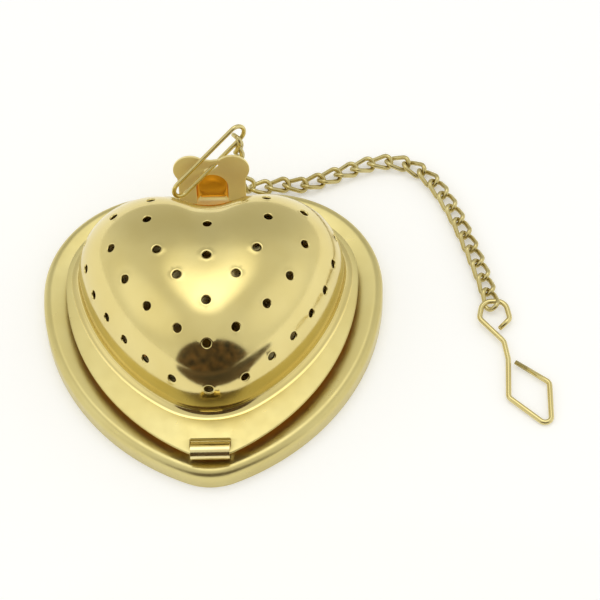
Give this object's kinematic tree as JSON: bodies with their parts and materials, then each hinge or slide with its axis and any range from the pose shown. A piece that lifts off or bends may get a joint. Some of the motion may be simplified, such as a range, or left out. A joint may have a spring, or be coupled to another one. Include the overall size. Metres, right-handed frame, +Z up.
{
  "type": "tea infuser",
  "caption": "Heart-shaped hinged tea infuser with a perforated dome, latch tab, link chain and wire hook, resting in a matching drip tray.",
  "frame": {"origin": "on the table, under the middle of the drip tray, on the heart's line of symmetry", "axes": "+Z up; +Y from the heart's point and hinge to its cleft and latch; +X across the heart to the side where the chain lies"},
  "size_m": [0.0887, 0.0693, 0.024],
  "materials": {
    "satin_gold": "satin, fine-brushed gold-coloured plating on stainless steel",
    "polished_gold": "mirror-polished gold-coloured plating on stainless steel",
    "gold_wire": "polished gold-coloured wire",
    "chain_metal": "slightly duller gold-coloured chain",
    "hook_wire": "gold-coloured wire"
  },
  "bodies": {
    "tray": {"drip_tray": "satin_gold"},
    "infuser_base": {"lower_shell": "satin_gold", "chain_link_01": "chain_metal", "chain_link_02": "chain_metal", "chain_link_03": "chain_metal", "chain_link_04": "chain_metal", "chain_link_05": "chain_metal", "chain_link_06": "chain_metal", "chain_link_07": "chain_metal", "chain_link_08": "chain_metal", "chain_link_09": "chain_metal", "chain_link_10": "chain_metal", "chain_link_11": "chain_metal", "chain_link_12": "chain_metal", "chain_link_13": "chain_metal", "chain_link_14": "chain_metal", "chain_link_15": "chain_metal", "chain_link_16": "chain_metal", "chain_link_17": "chain_metal", "chain_link_18": "chain_metal", "chain_link_19": "chain_metal", "chain_link_20": "chain_metal", "chain_link_21": "chain_metal", "chain_link_22": "chain_metal", "chain_link_23": "chain_metal", "chain_link_24": "chain_metal", "chain_link_25": "chain_metal"},
    "lid": {"upper_shell": "polished_gold"},
    "latch": {"latch_tab": "satin_gold", "hanger_link": "gold_wire"},
    "hook": {"hook": "hook_wire"}
  },
  "joints": [
    {"name": "lift_off", "type": "slide", "parent": "tray", "child": "infuser_base", "axis": [0, 0, 1], "range_m": [0, 0.05]},
    {"name": "lid_hinge", "type": "hinge", "parent": "infuser_base", "child": "lid", "pos_m": [0, -0.0264, 0.0061], "axis": [1, 0, 0], "range_deg": [0, 120]},
    {"name": "latch_flex", "type": "hinge", "parent": "infuser_base", "child": "latch", "pos_m": [0, 0.0255, 0.00545], "axis": [-1, 0, 0], "range_deg": [0, 2], "stiffness_Nm_per_rad": 0.05},
    {"name": "hook_swivel", "type": "hinge", "parent": "infuser_base", "child": "hook", "pos_m": [0.04925, 0.00635, 0.0013], "axis": [0, 0, 1], "range_deg": [-12, 12]}
  ]
}
